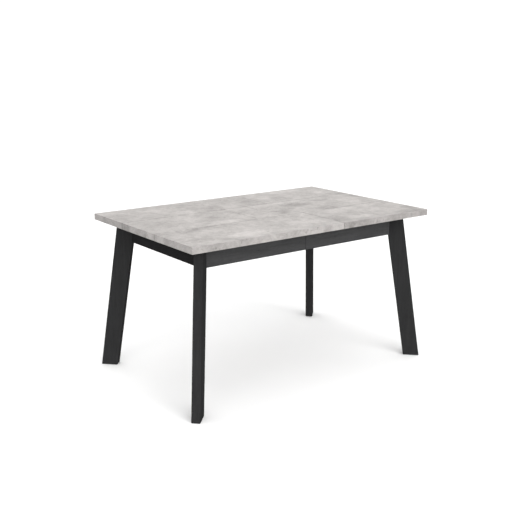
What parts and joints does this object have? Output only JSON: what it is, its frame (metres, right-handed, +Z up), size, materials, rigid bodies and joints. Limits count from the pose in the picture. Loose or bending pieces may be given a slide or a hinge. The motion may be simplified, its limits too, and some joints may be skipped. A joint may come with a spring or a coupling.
{
  "type": "extendable dining table",
  "caption": "Rectangular dining table with splayed legs whose top draws apart on slides to take spare leaves stored beneath it.",
  "frame": {"origin": "on the floor under the middle of the closed table", "axes": "+X along the length, towards the half that draws out; +Y towards the rear long side; +Z up"},
  "size_m": [1.4184, 0.912, 0.78],
  "materials": {
    "concrete_laminate": "pale concrete-look laminate on chipboard, matt",
    "edge_band": "concrete-look edge strip, matt",
    "black_lacquer": "black satin lacquer on beech",
    "hardwood": "planed, unfinished",
    "beech_dowel": "fluted and turned, unfinished",
    "aluminium_profile": "extruded, natural",
    "zinc_steel": "zinc plated",
    "nylon": "moulded, dull"
  },
  "bodies": {
    "left_half": {"batten_screws_left": "zinc_steel", "brackets_left": "zinc_steel", "corner_blocks_left": "hardwood", "end_apron_left": "black_lacquer", "front_apron_left": "black_lacquer", "glides_left": "nylon", "hanger_bolts_left": "zinc_steel", "leg_front_left": "black_lacquer", "leg_rear_left": "black_lacquer", "lock_plates_left": "zinc_steel", "nuts_and_washers_left": "zinc_steel", "rear_apron_left": "black_lacquer", "slide_battens_left": "hardwood", "slide_channel_front_left": "aluminium_profile", "slide_channel_rear_left": "aluminium_profile", "slide_pads_left": "nylon", "slide_racks_left": "aluminium_profile", "top_dowels": "beech_dowel", "top_edging_left": "edge_band", "top_left": "concrete_laminate", "wood_screws_left": "zinc_steel"},
    "right_half": {"batten_screws_right": "zinc_steel", "brackets_right": "zinc_steel", "corner_blocks_right": "hardwood", "end_apron_right": "black_lacquer", "front_apron_right": "black_lacquer", "glides_right": "nylon", "hanger_bolts_right": "zinc_steel", "leg_front_right": "black_lacquer", "leg_rear_right": "black_lacquer", "lock_plates_right": "zinc_steel", "nuts_and_washers_right": "zinc_steel", "rear_apron_right": "black_lacquer", "slide_battens_right": "hardwood", "slide_channel_front_right": "aluminium_profile", "slide_channel_rear_right": "aluminium_profile", "slide_pads_right": "nylon", "slide_racks_right": "aluminium_profile", "top_edging_right": "edge_band", "top_right": "concrete_laminate", "wood_screws_right": "zinc_steel"},
    "leaf_carriage": {"carrier_hangers": "hardwood", "carrier_screws": "zinc_steel", "centre_runner_front": "aluminium_profile", "centre_runner_rear": "aluminium_profile", "crossbar_caps": "nylon", "crossbars": "aluminium_profile", "leaf_1": "concrete_laminate", "leaf_2": "concrete_laminate", "leaf_dowels": "beech_dowel", "leaf_edging": "edge_band", "leaf_pads": "nylon", "leaf_stops": "nylon", "pinion_pins": "zinc_steel", "slide_shoes": "nylon"},
    "front_lock": {"lock_lever_front": "zinc_steel"},
    "rear_lock": {"lock_lever_rear": "zinc_steel"},
    "front_pinion": {"pinion_front": "nylon"},
    "rear_pinion": {"pinion_rear": "nylon"}
  },
  "joints": [
    {"name": "draw_out", "type": "slide", "parent": "left_half", "child": "right_half", "axis": [1, 0, 0], "range_m": [0, 0.6]},
    {"name": "carriage_slide", "type": "slide", "parent": "left_half", "child": "leaf_carriage", "axis": [1, 0, 0], "range_m": [0, 0.3]},
    {"name": "front_pinion_turn", "type": "hinge", "parent": "leaf_carriage", "child": "front_pinion", "pos_m": [0, -0.212, 0.725], "axis": [0, 0, 1], "range_deg": [-960, 960]},
    {"name": "rear_pinion_turn", "type": "hinge", "parent": "leaf_carriage", "child": "rear_pinion", "pos_m": [0, 0.212, 0.725], "axis": [0, 0, 1], "range_deg": [-960, 960]},
    {"name": "front_lock_turn", "type": "hinge", "parent": "left_half", "child": "front_lock", "pos_m": [-0.022, -0.296, 0.7456], "axis": [0, 0, -1], "range_deg": [0, 90]},
    {"name": "rear_lock_turn", "type": "hinge", "parent": "left_half", "child": "rear_lock", "pos_m": [-0.022, 0.296, 0.7456], "axis": [0, 0, 1], "range_deg": [0, 90]}
  ],
  "couplings": [
    {"joint": "carriage_slide", "follows": "draw_out", "ratio": 0.5},
    {"joint": "front_pinion_turn", "follows": "draw_out", "rad_per_m": -27.778},
    {"joint": "rear_pinion_turn", "follows": "draw_out", "rad_per_m": 27.778}
  ]
}
